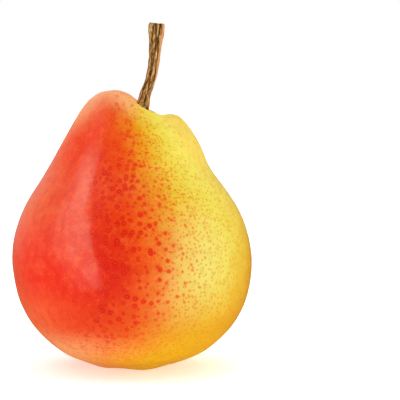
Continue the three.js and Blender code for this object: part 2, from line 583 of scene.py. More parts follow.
@dataclass
class Fruit:
    """The flesh and skin as one closed shell, drawn ring by ring from the calyx tube up to the stem's socket.

    Sizes are in millimetres and angles in degrees.
    """

    belly_diameter: float
    belly_height: float = 29.2
    body_lean: float = 1.2
    crown_height: float = 72.3
    crown_diameter: float = 18.8
    crown_tilt: float = 21.0
    crown_shift: float = 4.2
    cavity_depth: float = 4.2
    basin_depth: float = 3.4
    stand_diameter: float = 18.0
    pad_width: float = 2.4
    mouth_diameter: float = 5.0
    tube_depth: float = 8.0
    lobe_count: int = 5
    lobe_height: float = 0.6
    socket_diameter: float = 4.2
    socket_depth: float = 4.6
    socket_offset: float = -0.9
    sides: int = 48
    lobe_spot: float = 1.6
    lobe_reach: float = 5.0
    lip_spot: float = 2.6
    shift_start: float = 0.46
    lumps: tuple[Station, ...] = ((21.0, 0.5), (7.0, 0.12))

    def __post_init__(self) -> None:
        """Works out the rings' radii and heights."""
        self.line = self._profile()

    def _profile(self) -> list[Vector]:
        """Draws the shell's outline.

        Returns:
            Points (radius, 0, height) from the tube's inner end to the socket's.
        """
        belly, crown, mouth = self.belly_diameter / 2, self.crown_diameter / 2, self.mouth_diameter / 2
        inner = (self.stand_diameter - self.pad_width) / 2
        outer = (self.stand_diameter + self.pad_width) / 2
        socket = self.socket_diameter / 2
        basin, tube = self.basin_depth, self.tube_depth
        floor = self.crown_height - self.cavity_depth
        under = [
            (0.45 * mouth, basin + 0.93 * tube), (0.75 * mouth, basin + 0.5 * tube),
            (mouth, basin + 0.1 * tube), (1.16 * mouth, basin),
            (mix(mouth, inner, 0.45), 0.74 * basin), (mix(mouth, inner, 0.78), 0.3 * basin), (inner, 0.02),
        ]
        lower = [(0, 0), (0.068, 0.205), (0.151, 0.432), (0.298, 0.66), (0.445, 0.81), (0.64, 0.928),
                 (0.82, 0.982)]
        upper = [(0, 1), (0.119, 0.979), (0.221, 0.932), (0.323, 0.86), (0.426, 0.75), (0.528, 0.62),
                 (0.63, 0.5), (0.733, 0.398), (0.837, 0.3), (0.914, 0.208), (0.96, 0.128),
                 (0.988, 0.058)]
        flank = [(mix(outer, belly, out), up * self.belly_height) for up, out in lower]
        flank += [
            (mix(crown, belly, out), mix(self.belly_height, self.crown_height, up)) for up, out in upper
        ]
        dip = [(0, 0), (0.18, 0.06), (0.36, 0.34), (0.53, 0.74), (0.63, 0.92)]
        cavity = [(crown * (1 - way), self.crown_height - down * self.cavity_depth) for way, down in dip]
        collar = [(1.32 * socket, floor + 0.25), (1.1 * socket, floor + 0.75), (0.99 * socket, floor + 1.25)]
        hole = [(0.97 * socket, floor + 1.0), (0.96 * socket, floor - 1.5),
                (0.8 * socket, floor - self.socket_depth)]
        line: list[Vector] = []
        for stations, step in ((under, 1.0), (flank + cavity[:1], 2.2), (cavity, 1.1),
                               (cavity[-1:] + collar, 0.5), (hole, 1.6)):
            part = smooth_line([Vector((r, 0, z)) for r, z in stations], step)
            line += part[1:] if line and (part[0] - line[-1]).length < 1e-6 else part
        return line

    def lean_at(self, height: float) -> float:
        """How far the axis is pushed to +X by the lean at a height."""
        return math.tan(math.radians(self.body_lean)) * (self.belly_height - height)

    def basin_at(self, radius: float) -> float:
        """The height of the basin's skin at a radius."""
        top, edge = self.basin_depth + 0.1, self.stand_diameter / 2
        return table(sorted((p.x, p.z) for p in self.line if p.z < top and p.x < edge), radius)

    def build(self) -> bpy.types.Object:
        """Draws the shell, leans it, raises its lobes and rounds it.

        Returns:
            The finished piece.
        """
        work = Workpiece("pear_body", self.sides)
        work.start_ring(self.line[0].x, self.line[0].z)
        for last, spot in zip(self.line, self.line[1:]):
            work.next_ring(Vector((0, 0, spot.z - last.z)), spot.x / last.x, Vector((0, 0, spot.z)))
        work.leave()
        self._record(work)
        bpy.ops.object.mode_set(mode="EDIT")
        self._raise_lobes(work)
        self._lean(work)
        self._dip_lip(work)
        for ring in (work.rings - 1, 0):
            work.pick_ring(ring)
            work.close_ring()
        work.leave()
        work.finish("SUBSURF", levels=2, render_levels=2)
        for size, height in self.lumps:
            work.lumps(size, height)
        bpy.ops.object.shade_smooth()
        return work.piece

    def _record(self, work: Workpiece) -> None:
        """Stores the numbers that the skin's pattern follows, while the shell is still round.

        Args:
            work: the piece on the bench.
        """
        climb = [0.0]
        for a, b in zip(self.line, self.line[1:]):
            climb.append(climb[-1] + (b - a).length / (math.pi * (a.x + b.x)))
        sides = self.sides
        corners = range(len(work.piece.data.vertices))
        work.write_map(SKIN_UV, lambda i: ((i % sides) / sides, climb[i // sides]))
        work.write_numbers("rise", (self.line[i // sides].z for i in corners))
        work.write_numbers("girth", (2 * math.pi * self.line[i // sides].x for i in corners))
        work.write_numbers("cork", (self._cork(i // sides) for i in corners))

    def _cork(self, ring: int) -> float:
        """Tells where the skin turns brown and corky, in the calyx tube and against the stem.

        Args:
            ring: a ring's number.

        Returns:
            1 where it is corky, 0 where it isn't.
        """
        spot = self.line[ring]
        if ring < len(self.line) / 2:
            return 1 - smooth(spot.x, 0.95 * self.mouth_diameter / 2, 1.6 * self.mouth_diameter / 2)
        return 1 - smooth(spot.x, 0.5 * self.socket_diameter, 1.45 * self.socket_diameter)

    def _raise_lobes(self, work: Workpiece) -> None:
        """Lifts the skin between each two pads.

        Args:
            work: the piece on the bench.
        """
        radius = self.stand_diameter / 2
        for k in range(self.lobe_count):
            angle = 2 * math.pi * (k + 0.5) / self.lobe_count
            spot = Vector((radius * math.cos(angle), radius * math.sin(angle), 0))
            work.pick(lambda place, _, spot=spot: (place - spot).length < self.lobe_spot)
            work.push(Vector((0, 0, self.lobe_height)), reach=self.lobe_reach)

    def _lean(self, work: Workpiece) -> None:
        """Leans the shell and pushes and tilts its crown, one ring at a time.

        Args:
            work: the piece on the bench.
        """
        start = mix(self.belly_height, self.crown_height, self.shift_start)
        for ring, spot in enumerate(self.line):
            share = smooth(spot.z, start, self.crown_height)
            work.pick_ring(ring)
            if share > 0:
                slope = share * math.tan(math.radians(self.crown_tilt))
                angle = math.atan(slope)
                middle = Vector((0, 0, spot.z))
                work.tilt(angle, "Y", middle)
                work.stretch((1 / math.cos(angle), 1, 1 / math.cos(angle)), middle)
            aside = share * self.crown_shift + self.lean_at(spot.z)
            if ring > len(self.line) / 2 and spot.x < self.crown_diameter / 2 and spot.z > start:
                inwards = smooth(-spot.x, -self.crown_diameter / 2, -0.62 * self.socket_diameter)
                aside += self.socket_offset * inwards
            work.push(Vector((aside, 0, 0)))

    def _dip_lip(self, work: Workpiece) -> None:
        """Pulls the crown about by hand: its lip up and down, and a fold of flesh up against the stem.

        Args:
            work: the piece on the bench.
        """
        middle = self.crown_shift + self.lean_at(self.crown_height)
        slope = math.tan(math.radians(self.crown_tilt))
        for along, across, down, lift, reach in (
            (2.6, -0.96, 0.0, -0.9, 7.0), (4.0, 0.9, 0.0, -1.9, 8.0), (-5.2, -0.75, 0.0, 0.8, 5.5),
            (-5.2, 0.75, 0.0, 0.8, 5.5), (-9.0, 0.0, 0.0, -0.35, 6.0), (9.4, -0.25, 0.0, 0.3, 5.0),
            (0.9, 0.3, 3.4, 2.5, 2.1),
        ):
            height = self.crown_height - slope * along - down
            spot = Vector((middle + along, across * self.crown_diameter / 2, height))
            work.pick(lambda place, _, spot=spot: (place - spot).length < self.lip_spot)
            work.push(Vector((0, 0, lift)), reach=reach)


@dataclass
class Stalk:
    """The woody stem: a ridged bar along a curved path, flared at its root and its broken end."""

    fruit: Fruit
    diameter: float = 3.0
    root_diameter: float = 4.2
    top_diameter: float = 4.4
    rise: float = 21.7
    root_depth: float = 4.0
    lean: float = 4.6
    sides: int = 64
    furrow_count: int = 10
    furrow_depth: float = 0.21
    furrow_presses: tuple[Station, ...] = ((1.7, 0.45), (0.75, 0.55))
    lumps: tuple[Station, ...] = ((2.6, 0.34), (0.7, 0.1))

    def __post_init__(self) -> None:
        """Works out the path and the girths along it."""
        fruit = self.fruit
        foot = fruit.crown_height - fruit.cavity_depth - self.root_depth
        end = fruit.crown_height + self.rise
        start = fruit.crown_shift + fruit.lean_at(fruit.crown_height) - 0.2 * self.lean
        shares = [(0, 0), (0.14, 0.04), (0.24, 0.12), (0.33, 0.27), (0.42, 0.47), (0.5, 0.64), (0.58, 0.75),
                  (0.68, 0.84), (0.8, 0.91), (0.9, 0.95), (1, 1)]
        stations = [
            Vector((start + over * self.lean, 0.15 * self.lean * over * over, mix(foot, end, up)))
            for up, over in shares
        ]
        self.path = smooth_line(stations, 0.5)
        self.girths = [
            (0, 0.8 * self.root_diameter), (0.06, self.root_diameter), (0.16, self.root_diameter),
            (0.26, 0.88 * self.root_diameter), (0.38, self.diameter), (0.5, 0.95 * self.diameter),
            (0.6, self.diameter), (0.76, 1.1 * self.diameter),
            (0.88, mix(self.diameter, self.top_diameter, 0.75)), (0.96, 1.05 * self.top_diameter),
            (0.985, 1.04 * self.top_diameter), (1, 0.95 * self.top_diameter),
        ]

    def _radius(self, ring: int) -> float:
        """The bar's radius at a ring."""
        low, high = self.path[0].z, self.path[-1].z
        return table(self.girths, (self.path[ring].z - low) / (high - low)) / 2

    def build(self) -> bpy.types.Object:
        """Draws the bar along its path, cuts its furrows and rounds it.

        Returns:
            The finished piece.
        """
        work = Workpiece("stalk", self.sides)
        first = self.path[0]
        work.start_ring(self._radius(0), first.z)
        work.push(Vector((first.x, first.y, 0)))
        turned = 0.0
        for ring in range(1, len(self.path)):
            spot, last = self.path[ring], self.path[ring - 1]
            work.next_ring(spot - last, self._radius(ring) / self._radius(ring - 1), spot)
            ahead = self.path[min(ring + 1, len(self.path) - 1)] - last
            slope = math.atan2(ahead.x, ahead.z)
            work.tilt(slope - turned, "Y", spot)
            turned = slope
        end = self.path[-1]
        for rise, ratio in ((0.16, 0.88), (0.02, 0.8), (-0.16, 0.72), (-0.08, 0.5)):
            work.next_ring(Vector((0, 0, rise)), ratio, end)
        work.leave()
        self._record(work)
        bpy.ops.object.mode_set(mode="EDIT")
        self._cut_furrows(work)
        for ring in (work.rings - 1, 0):
            work.pick_ring(ring)
            work.close_ring()
        work.leave()
        work.finish("SUBSURF", levels=1, render_levels=1)
        for size, height in self.lumps:
            work.lumps(size, height)
        bpy.ops.object.shade_smooth()
        return work.piece

    def _distance(self, index: int, furrow: int) -> float:
        """Measures how far round the bar a corner is from the middle of a furrow.

        Args:
            index: the corner's index.
            furrow: the furrow's number.

        Returns:
            The distance, in corners.
        """
        ring, side = divmod(index, self.sides)
        ring = min(ring, len(self.path) - 1)
        height = self.path[ring].z - self.path[0].z
        share = height / (self.path[-1].z - self.path[0].z)
        sway = mix(3.2, 1.0, smooth(share, 0.25, 0.6))
        wave = math.sin(height / mix(0.55, 1.7, smooth(share, 0.25, 0.7)) + 2.4 * furrow)
        middle = (furrow + 0.25 * math.sin(5 * furrow)) * self.sides / self.furrow_count + sway * wave
        return abs((side - middle + self.sides / 2) % self.sides - self.sides / 2)

    def _cut_furrows(self, work: Workpiece) -> None:
        """Presses each furrow in twice, the second time narrower.

        Args:
            work: the piece on the bench.
        """
        for furrow in range(self.furrow_count):
            depth = self.furrow_depth * (0.7 + 0.5 * math.sin(3.1 * furrow) ** 2)
            for width, part in self.furrow_presses:
                work.pick(lambda _, index, w=width: self._distance(index, furrow) < w)
                work.swell(-depth * part)

    def _record(self, work: Workpiece) -> None:
        """Stores the bark's map and the numbers that its colour follows.

        Args:
            work: the piece on the bench.
        """
        sides = self.sides
        corners = range(len(work.piece.data.vertices))
        heights = [spot.z - self.path[0].z for spot in self.path]
        heights += [heights[-1] + 0.2 * (k + 1) for k in range(work.rings - len(heights))]
        work.write_map(BARK_UV, lambda i: ((i % sides) / sides, heights[i // sides] / heights[-1]))
        near = (min(self._distance(i, furrow) for furrow in range(self.furrow_count)) for i in corners)
        work.write_numbers("furrow", (1 - smooth(distance, 0.3, 2.2) for distance in near))
        work.write_numbers("along", (heights[i // sides] / heights[-1] for i in corners))


@dataclass
class Calyx:
    """The dried remains of the flower: sepals round the mouth of the tube and stamens in it."""

    fruit: Fruit
    sepal_length: float = 3.4
    sepal_width: float = 2.0
    sepal_thickness: float = 0.26
    stamen_count: int = 24
    stamen_reach: float = 1.4
    columns: int = 10
    rows: int = 6
    seed: int = 11

    def build_sepal(self, number: int) -> bpy.types.Object:
        """Shapes one withered sepal and lays it against the basin.

        Args:
            number: its place round the mouth, from 0.

        Returns:
            The finished piece.
        """
        chance = random.Random(self.seed + number)
        work = Workpiece(f"sepal_leaf_{number + 1}")
        work.start_sheet(self.sepal_length, self.sepal_width, self.columns, self.rows)
        start = 1.12 * self.fruit.mouth_diameter / 2
        twist = chance.uniform(-0.35, 0.35)
        for column in range(self.columns + 1):
            share = column / self.columns
            spot = Vector((share * self.sepal_length, 0, 0))
            work.pick(lambda place, _, x=spot.x: abs(place.x - x) < 0.02)
            work.stretch((1, max(0.84 + share - 1.7 * share * share, 0.1), 1), spot)
            work.tilt(twist * share, "X", spot)
            skin = self.fruit.basin_at(start + spot.x)
            drop = 0.24 + 0.25 * share + 0.16 * math.sin(9 * share + number)
            work.push(Vector((start, 0, max(skin - drop, 0.55))))
        for side in (-1, 1):
            work.pick(lambda place, _, s=side: s * place.y > 0.62)
            work.push(Vector((0, 0, -0.22)), reach=0.7)
        work.leave()
        work.finish("SOLIDIFY", thickness=self.sepal_thickness * MM, offset=0.0)
        work.finish("SUBSURF", levels=2, render_levels=2)
        work.lumps(0.9, 0.18)
        bpy.ops.object.mode_set(mode="EDIT")
        work.pick(lambda *_: True)
        angle = 2 * math.pi * (number + 0.5) / self.fruit.lobe_count + chance.uniform(-0.12, 0.12)
        work.tilt(angle, "Z", Vector())
        work.push(Vector((self.fruit.lean_at(self.fruit.basin_depth), 0, 0)))
        work.leave()
        bpy.ops.object.shade_smooth()
        return work.piece

    def _build_stamen(self, number: int) -> bpy.types.Object:
        """Shapes one wiry stamen from the tube down out of its mouth, with a shrivelled head.

        Args:
            number: its place in the tuft, from 0.

        Returns:
            The finished piece.
        """
        chance = random.Random(self.seed * 31 + number)
        work = Workpiece(f"stamen_{number + 1}", 7)
        top = self.fruit.basin_depth + 0.6 * self.fruit.tube_depth
        tip = self.fruit.basin_depth - self.stamen_reach * chance.uniform(0.2, 1.0)
        angle = 2.4 * number
        spread = mix(0.25, 0.78, ((number * 7) % self.stamen_count) / self.stamen_count)
        out = Vector((math.cos(angle), math.sin(angle), 0)) * spread * self.fruit.mouth_diameter / 2
        bend = Vector((chance.uniform(-0.4, 0.4), chance.uniform(-0.4, 0.4), 0))
        work.start_ring(0.13, top)
        work.push(0.35 * out)
        last, size = 0.35 * out + Vector((0, 0, top)), 1.0
        for k in range(1, 8):
            share = k / 7
            spot = out * mix(0.35, 0.98, share) + bend * math.sin(3 * share)
            spot.z = mix(top, tip, share)
            now = 1.0 if k < 6 else 1.7 if k == 6 else 0.7
            work.next_ring(spot - last, now / size, spot)
            last, size = spot, now
        for ring in (work.rings - 1, 0):
            work.pick_ring(ring)
            work.close_ring()
        work.pick(lambda *_: True)
        work.push(Vector((self.fruit.lean_at(self.fruit.basin_depth), 0, 0)))
        work.leave()
        bpy.ops.object.shade_smooth()
        return work.piece

    def build_stamens(self) -> bpy.types.Object:
        """Makes every stamen and joins them into one tuft.

        Returns:
            The finished piece.
        """
        stamens = [self._build_stamen(number) for number in range(self.stamen_count)]
        for stamen in stamens:
            stamen.select_set(True)
        bpy.context.view_layer.objects.active = stamens[0]
        bpy.ops.object.join()
        stamens[0].name = stamens[0].data.name = "stamens"
        return stamens[0]


# ---------------------------------------------------------------- shared effects


OUT_OF_SIGHT = 99.0


class Effects:
    """The node groups that the finishes share, each built once."""

    def __init__(self) -> None:
        """Builds the groups."""
        self.dots = self._dots()
        self.mottle = self._mottle()
        self.grain = self._grain()

    def clouds(self, place: Signal, size: float, fine_share: float) -> Signal:
        """Soft cloudy variation, from -1 to 1, with clouds of a size in metres."""
        return place.wiring.use(self.mottle, Place=place, Size=size, Fine_share=fine_share)[0]

    def fibres(self, place: Signal, width: float, stretch: float) -> Signal:
        """Fibres of a width, and so many times as long, from 0 to 1."""
        return place.wiring.use(self.grain, Place=place, Width=width, Stretch=stretch)[0]

    @staticmethod
    def _dots() -> bpy.types.NodeTree:
        """Makes round dots of even spacing over a map that wraps round the piece.

        The nearest dots are read twice, with the map's seam on opposite sides. Each reading is kept only for
        the dots on its own half, so no dot is cut.

        Returns:
            The group, which puts out the distance to the nearest dot and that dot's chance from 0 to 1.
        """
        effect = Effect(
            "Dots",
            {"Map": "Vector", "Girth": "Float", "Count": "Float", "Spacing": "Float"},
            ("Distance", "Chance"),
        )
        wiring = effect.wiring
        dot_map, girth, count, spacing = effect.taken()
        u, v, _ = dot_map.split()
        cell = girth / count
        kept = wiring.math("POWER", cell / spacing, 2.0)
        found: list[tuple[Signal, Signal]] = []
        for shift in (0.0, 0.5):
            cells = wiring.add("ShaderNodeTexVoronoi", voronoi_dimensions="2D")
            spot = wiring.join(wiring.math("FRACT", u + shift) * count, (v + shift) * count, 0.0)
            wiring.feed_all(cells, Vector=spot, Scale=1.0, Randomness=0.92)
            chance, rare, _ = wiring.out(cells, "Color").split()
            middle, _, _ = wiring.out(cells, "Position").split()
            away = wiring.math("GREATER_THAN", wiring.math("ABSOLUTE", middle / count - 0.5), 0.25)
            gone = wiring.math("GREATER_THAN", rare, kept)
            hidden = away * OUT_OF_SIGHT + gone * OUT_OF_SIGHT
            found.append((wiring.out(cells, "Distance") * cell + hidden, chance))
        (near, first), (far, second) = found
        closer = wiring.math("LESS_THAN", near, far)
        return effect.give(wiring.math("MINIMUM", near, far), closer * first + (1.0 - closer) * second)

    @staticmethod
    def _mottle() -> bpy.types.NodeTree:
        """Makes soft cloudy variation in two sizes.

        Returns:
            The group, which puts out a number from -1 to 1.
        """
        effect = Effect("Mottle", {"Place": "Vector", "Size": "Float", "Fine share": "Float"}, ("Value",))
        place, size, fine_share = effect.taken()
        scale = effect.wiring.math("DIVIDE", 1.0, size)
        broad = effect.wiring.noise(place, scale, detail=3.0, roughness=0.55)
        fine = effect.wiring.noise(place, scale * 6.5, detail=4.0, roughness=0.6)
        return effect.give(((fine - broad) * fine_share + broad - 0.5) * 4.0)

    @staticmethod
    def _grain() -> bpy.types.NodeTree:
        """Makes fibres that run along a dried piece.

        Returns:
            The group, which puts out a number from 0 to 1.
        """
        effect = Effect("Grain", {"Place": "Vector", "Width": "Float", "Stretch": "Float"}, ("Value",))
        place, width, stretch = effect.taken()
        x, y, z = place.split()
        spot = effect.wiring.join(x, y, z / stretch)
        scale = effect.wiring.math("DIVIDE", 1.0, width)
        coarse = effect.wiring.noise(spot, scale, detail=3.0, roughness=0.6)
        fine = effect.wiring.noise(spot, scale * 2.7, detail=2.0, roughness=0.5)
        return effect.give(((fine - coarse) * 0.4 + coarse).ease(0.28, 0.72))


# ---------------------------------------------------------------- finishes


class Slot(Enum):
    """The record's material slots."""

    SKIN = "skin"
    BARK = "stem_bark"
    CALYX = "dried_calyx"


@dataclass(frozen=True)
class Finish:
    """What every finish shares: a name, a slot and an opening move.

    Attributes:
        name: the material's name.
        slot: the record's slot that it fills.
    """

    name: str
    slot: Slot

    def start(self) -> tuple[bpy.types.Material, Wiring, bpy.types.Node]:
        """Makes an empty material.

        Returns:
            The material, its wiring, and its shader, already joined to the output.
        """
        material = bpy.data.materials.new(self.name)
        material.use_nodes = True
        material.node_tree.nodes.clear()
        wiring = Wiring(material.node_tree)
        shader = wiring.add("ShaderNodeBsdfPrincipled")
        output = wiring.add("ShaderNodeOutputMaterial")
        wiring.feed(output.inputs["Surface"], wiring.out(shader))
        return material, wiring, shader

    @staticmethod
    def raise_bumps(shader: bpy.types.Node, height: Signal, depth: float) -> None:
        """Gives a shader fine relief.

        Args:
            shader: the shader.
            height: the relief's height, from 0 to 1.
            depth: how deep the relief is, in millimetres.
        """
        wiring = height.wiring
        bump = wiring.add("ShaderNodeBump")
        wiring.feed_all(bump, Strength=1.0, Distance=depth * MM, Height=height)
        wiring.feed(shader.inputs["Normal"], wiring.out(bump))


@dataclass(frozen=True)
class SkinSignals:
    """What the skin's colours follow.

    Attributes:
        effects: the shared node groups.
        place: the spot on the fruit, in metres.
        around: the share of the way round, from the back through -X.
        rise: the height above the table, in millimetres.
        blush: how red the skin is: 0 fully yellow, 0.5 at the change, 1 fully red.
    """

    effects: Effects
    place: Signal
    around: Signal
    rise: Signal
    blush: Signal


@dataclass(frozen=True)
class SkinFinish(Finish):
    """Waxy skin, red on its sunny side and yellow on the other, with breathing dots all over.

    Rows of colours and numbers are read by blush, from 0 on yellow to 1 on red skin, unless said otherwise.
    A band is a smooth change by height, in millimetres, and a turn is one by blush, both as (low, high) with
    (start, end) behind it where those aren't 0 and 1. The sizes of clouds, marks and patches are in metres.

    Attributes:
        height_unit: the height in millimetres that counts as 1 in the rows that are read by height.
        sunny: share of the way round at which the blush is deepest, from the back through -X.
        blush_reach: how far the blush comes, by height, with 0.5 for a quarter turn.
        deep_band: how much deeper the blush is low down on its sunny side.
        cloud_size: the size of the clouds that break up the blush's edge.
        fleck_size: the size of the flecks that do.
        orange_and_rim_light_side: share of the way round at which the skin is most orange, towards the
            back-left, seen along the left limb.
        orange_and_rim_light_share: how much of that orange shows, by height, full at the neck where it is
            painted rim light.
        orange_and_rim_light_colours: the orange, by height: the skin's own orange with painted rim light low
            down, pale peach painted rim light at the neck.
        orange_and_rim_light_start: where the orange starts, by height.
        orange_and_rim_light_size: the size of the clouds that break up its edge.
        neck: the ground colours of the neck.
        crown_highlight: the pale peach painted over the red at the crown's top: a painted highlight.
        neck_band: how the belly gives way to the neck.
        crown_highlight_band: how the painted highlight comes in, by height.
        crown_highlight_turn: how red the skin has to be to take the painted highlight.
        belly: the ground colours of the belly.
        base: the ground colours below the belly; its last stop, paler orange at full blush on the lower-left
            limb, is partly painted rim light.
        base_band: how the belly gives way to the base.
        foot: the ground colours next to the table: the blush fading towards the calyx, with painted bounce
            light from the table, pale peach on the red side.
        foot_and_bounce_band: how the base gives way to the foot and its painted bounce light.
        mark_size: the size of the marks.
        mark_band: how strong the lighter marks are at each height.
        mark_turn: how strong they are on yellow skin.
        lighter: the colours of the lighter marks.
        darker: the colours of the darker marks.
        ringed: the ringed dots' count round the fruit and spacing in millimetres.
        fine: the fine dots' count round the fruit and spacing in millimetres.
        dot_colours: the colours of the dots.
        dot_amber: the colour of the dots on golden skin.
        golden_band: where the skin is golden.
        golden_turn: where else it is.
        amber_turn: how much the dots there turn amber.
        dot_sizes: the ringed dots' radius, in millimetres.
        dot_strengths: how strong the ringed dots are.
        ripe_band: how the ringed dots fade towards the neck.
        foot_ripe_band: how they fade towards the table.
        bare_band: where the red of the neck has none.
        bare_turn: how red that is.
        speck_strengths: how strong the fine dots are.
        sparse_band: the share of them that the yellow of the neck lacks.
        sparse_turn: how yellow that is.
        core_strengths: how strong the ringed dots' pale middles are.
        core_colour: the colour of those middles.
        fleck_colour: the colour of the few pale fine dots.
        cork: the colours of corky skin, from its rim inwards.
        cork_size: the size of the patches at that rim.
        wax_size: the size of the patches in the wax.
        wax_top_band: how the wax dulls towards the neck.
        wax_foot_band: how it dulls towards the table.
        relief_size: the size of the fine relief.
        relief_depth: its depth in millimetres.
    """

    height_unit: float = 90.0
    sunny: float = 0.3056
    blush_reach: Curve = (
        (0.0, 0.0), (0.039, 0.05), (0.092, 0.235), (0.15, 0.355), (0.211, 0.43), (0.311, 0.468),
        (0.389, 0.497), (0.511, 0.475), (0.6, 0.425), (0.68, 0.34), (0.778, 0.19), (0.84, 0.08), (1.0, 0.0),
    )
    deep_band: Change = (38.0, 28.0, 0.0, 0.1)
    cloud_size: float = 0.019
    fleck_size: float = 0.0034
    orange_and_rim_light_side: float = 0.11
    orange_and_rim_light_share: Curve = (
        (0.0, 0.6), (0.32, 0.6), (0.43, 0.34), (0.5, 0.26), (0.62, 0.28), (0.76, 1.0), (1.0, 1.0),
    )
    # Partly painted rim light: the skin's orange low down, pale peach painted rim light at the neck.
    orange_and_rim_light_colours: Stops = ((0.6, "ea6c2e"), (0.76, "f2a474"))
    orange_and_rim_light_start: Change = (0.6, 0.74, 0.0, -0.3)
    orange_and_rim_light_size: float = 0.006
    neck: Stops = (
        (0.0, "ebd05c"), (0.15, "e9da5a"), (0.28, "e5d044"), (0.38, "e5c02e"), (0.46, "e69a16"),
        (0.54, "e97618"), (0.63, "ea4a0c"), (0.75, "ea360c"), (0.86, "ea3a10"), (1.0, "ec6a38"),
    )
    # Painted highlight on the crown's top.
    crown_highlight: str = "f4b880"
    neck_band: Change = (31.0, 50.0)
    crown_highlight_band: Change = (67.0, 72.5, 0.0, 0.85)
    crown_highlight_turn: Change = (0.3, 0.5)
    belly: Stops = (
        (0.0, "de9e14"), (0.12, "dfb42a"), (0.21, "e0ce54"), (0.33, "e2d46a"), (0.4, "e4c65e"),
        (0.47, "e8aa52"), (0.54, "e98632"), (0.61, "ea5a16"), (0.69, "e0320a"), (0.77, "dc1e0a"),
        (0.9, "e8260c"), (1.0, "ec2c10"),
    )
    # The last stop is partly painted rim light on the lower-left limb, over the skin's orange.
    base: Stops = (
        (0.0, "d89a0a"), (0.2, "daa412"), (0.38, "df9016"), (0.48, "e07016"), (0.6, "da4c14"),
        (0.73, "de4c1a"), (0.88, "e04e1c"), (1.0, "ea6c38"),
    )
    base_band: Change = (28.0, 10.0)
    # Partly painted bounce light: pale peach next to the table on the red side.
    foot: Stops = ((0.18, "ecb608"), (0.32, "eea61e"), (0.5, "f3a850"), (0.72, "f8be7c"))
    foot_and_bounce_band: Change = (15.0, 3.0, 0.0, 0.95)
    mark_size: float = 0.0024
    mark_band: Change = (12.0, 32.0, 0.16, 0.46)
    mark_turn: Change = (0.0, 0.28, 0.25, 1.0)
    lighter: Stops = ((0.3, "e8da70"), (0.55, "f08a34"), (0.75, "f2642e"))
    darker: Stops = ((0.3, "cfa82a"), (0.55, "e05412"), (0.75, "d01e08"))
    ringed: Station = (92.0, 1.75)
    fine: Station = (134.0, 1.3)
    dot_colours: Stops = (
        (0.0, "dc9c1c"), (0.28, "dc921c"), (0.36, "e0701c"), (0.45, "e64c18"), (0.55, "e2280c"),
        (0.66, "da1606"), (0.76, "ce1004"), (1.0, "de280e"),
    )
    dot_amber: str = "dc780e"
    golden_band: Change = (32.0, 16.0)
    golden_turn: Change = (0.12, 0.0)
    amber_turn: Change = (0.5, 0.36, 0.0, 0.8)
    dot_sizes: Curve = ((0.0, 0.26), (0.2, 0.4), (0.33, 0.48), (0.45, 0.66), (0.6, 0.9), (1.0, 0.85))
    dot_strengths: Curve = (
        (0.0, 0.25), (0.3, 0.66), (0.42, 0.88), (0.6, 1.0), (0.72, 0.9), (0.8, 0.45), (0.9, 0.25),
        (1.0, 0.12),
    )
    ripe_band: Change = (74.0, 58.0, 0.45, 1.0)
    foot_ripe_band: Change = (3.0, 18.0, 0.2, 1.0)
    bare_band: Change = (54.0, 66.0, 0.0, 0.85)
    bare_turn: Change = (0.56, 0.67)
    speck_strengths: Curve = ((0.0, 0.6), (0.35, 0.75), (0.5, 0.48), (0.62, 0.38), (0.76, 0.18), (1.0, 0.08))
    sparse_band: Change = (40.0, 62.0, 0.12, 0.72)
    sparse_turn: Change = (0.38, 0.18)
    core_strengths: Curve = ((0.0, 0.0), (0.4, 0.05), (0.52, 0.45), (0.7, 0.5), (0.85, 0.3), (1.0, 0.25))
    core_colour: str = "ee7a2c"
    fleck_colour: str = "ec7c3a"
    cork: Stops = ((0.0, "c9a032"), (0.5, "a8701f"), (1.0, "5b3a1a"))
    cork_size: float = 0.0022
    wax_size: float = 0.0042
    wax_top_band: Change = (63.0, 52.0, 0.06, 0.42)
    wax_foot_band: Change = (10.0, 26.0, 0.2, 0.85)
    relief_size: float = 0.0016
    relief_depth: float = 0.06

    def build(self, effects: Effects) -> bpy.types.Material:
        """Wires the skin.

        Args:
            effects: the shared node groups.

        Returns:
            The finished material.
        """
        material, wiring, shader = self.start()
        place, skin_map = wiring.place(), wiring.wrap(SKIN_UV)
        rise, girth, cork = (wiring.number(name) for name in ("rise", "girth", "cork"))
        around, _, _ = skin_map.split()
        skin = SkinSignals(effects, place, around, rise, self._blush(effects, place, around, rise))
        colour = self._orange_back_and_rim_light(skin, self._mottle(skin, self._ground(skin)))
        big, small = (
            wiring.use(effects.dots, Map=skin_map, Girth=girth, Count=count, Spacing=spacing)
            for count, spacing in (self.ringed, self.fine)
        )
        colour, pits = self._lay_dots(skin, colour, big, small)
        relief = effects.clouds(place, self.relief_size, 0.5)
        wiring.feed_all(
            shader,
            Base_Color=self._lay_cork(skin, colour, cork),
            Roughness=relief * 0.03 + (cork * 0.4 + 0.42),
            Coat_Weight=self._wax(skin),
        )
        shader.inputs["Coat Roughness"].default_value = 0.13
        shader.inputs["Sheen Weight"].default_value = 0.03
        shader.inputs["Sheen Roughness"].default_value = 0.4
        shader.inputs["Sheen Tint"].default_value = (1.0, 0.75, 0.55, 1.0)
        shader.inputs["Specular IOR Level"].default_value = 0.06
        self.raise_bumps(shader, relief * 0.2 + (0.6 - pits), self.relief_depth)
        return material

